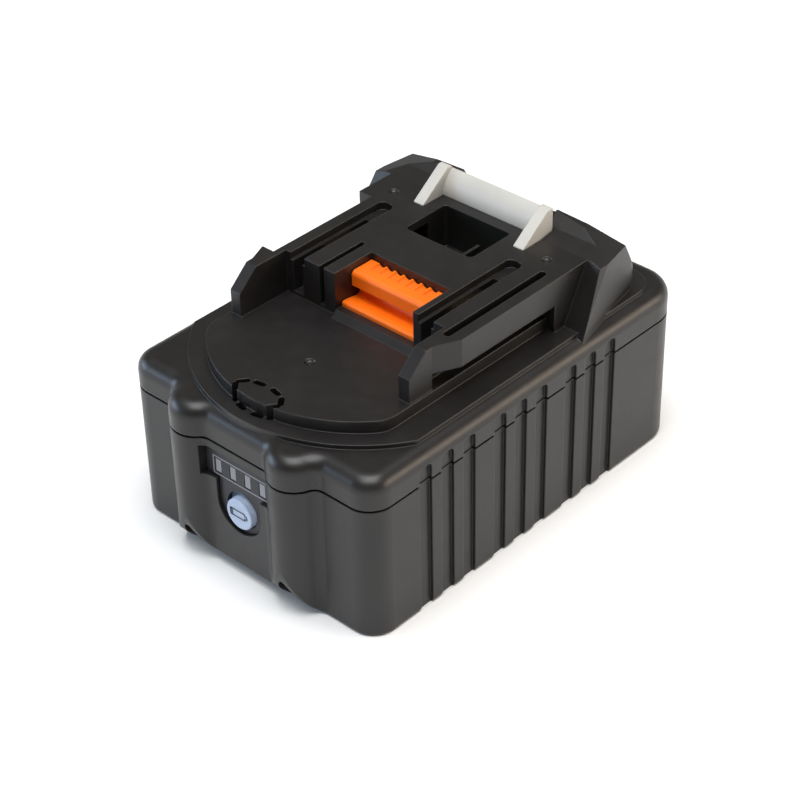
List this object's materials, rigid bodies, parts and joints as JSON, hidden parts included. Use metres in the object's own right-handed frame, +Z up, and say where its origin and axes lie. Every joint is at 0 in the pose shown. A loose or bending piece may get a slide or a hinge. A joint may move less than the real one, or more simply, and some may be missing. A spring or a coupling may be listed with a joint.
{
  "type": "power tool battery pack",
  "caption": "Slide-on battery pack with slotted rail plate, ribbed connector, pressed latch and a front charge gauge with check button.",
  "frame": {"origin": "middle of the case's length and width, on the surface that the pack stands on", "axes": "+Z up, +Y from the gauge end to the latch end, +X to the right as seen from the gauge end"},
  "size_m": [0.075, 0.113, 0.0634],
  "materials": {
    "case_black": "satin, finely textured",
    "latch_cream": "satin",
    "button_black": "satin",
    "spring_steel": "bright wire",
    "connector_orange": "satin",
    "contact_brass": "plated",
    "panel_black": "satin film",
    "guide_white": "translucent",
    "button_grey": "satin",
    "board_green": "coated",
    "chip_black": "matt",
    "ribbon_amber": "film",
    "frame_white": "moulded",
    "sheet_grey": "card",
    "foam_black": "foam",
    "screw_steel": "dark plated",
    "cell_sleeve": "sleeved",
    "strip_nickel": "rolled"
  },
  "bodies": {
    "pack": {"lower_case": "case_black", "upper_case": "case_black", "latch_spring_left": "spring_steel", "latch_spring_right": "spring_steel", "latch_tray": "case_black", "connector_housing": "connector_orange", "connector_contacts": "contact_brass", "terminal_positive": "contact_brass", "terminal_negative": "contact_brass", "gauge_panel": "panel_black", "light_guide": "guide_white", "gauge_board": "board_green", "gauge_leds": "guide_white", "button_switch": "spring_steel", "gauge_ribbon": "ribbon_amber", "main_board": "board_green", "board_parts": "chip_black", "cell_frame_left": "frame_white", "cell_frame_right": "frame_white", "insulator_left": "sheet_grey", "insulator_right": "sheet_grey", "foam_pads": "foam_black", "case_screws": "screw_steel", "board_screws": "screw_steel", "cell_1": "cell_sleeve", "cell_2": "cell_sleeve", "cell_3": "cell_sleeve", "cell_4": "cell_sleeve", "cell_5": "cell_sleeve", "cell_6": "cell_sleeve", "cell_7": "cell_sleeve", "cell_8": "cell_sleeve", "cell_9": "cell_sleeve", "cell_10": "cell_sleeve", "strip_left_front": "strip_nickel", "strip_left_middle": "strip_nickel", "strip_left_rear": "strip_nickel", "strip_right_front": "strip_nickel", "strip_right_middle": "strip_nickel", "strip_right_rear": "strip_nickel"},
    "latch": {"release_latch": "latch_cream", "latch_button": "button_black"},
    "button": {"check_button": "button_grey"}
  },
  "joints": [
    {"name": "latch_press", "type": "slide", "parent": "pack", "child": "latch", "axis": [0, 0, -1], "range_m": [0, 0.0055], "stiffness_N_per_m": 900, "springref_m": -0.004, "deforming": ["latch_spring_left", "latch_spring_right"]},
    {"name": "check_press", "type": "slide", "parent": "pack", "child": "button", "axis": [0, 1, 0], "range_m": [0, 0.0004], "stiffness_N_per_m": 1200, "springref_m": -0.0003}
  ]
}
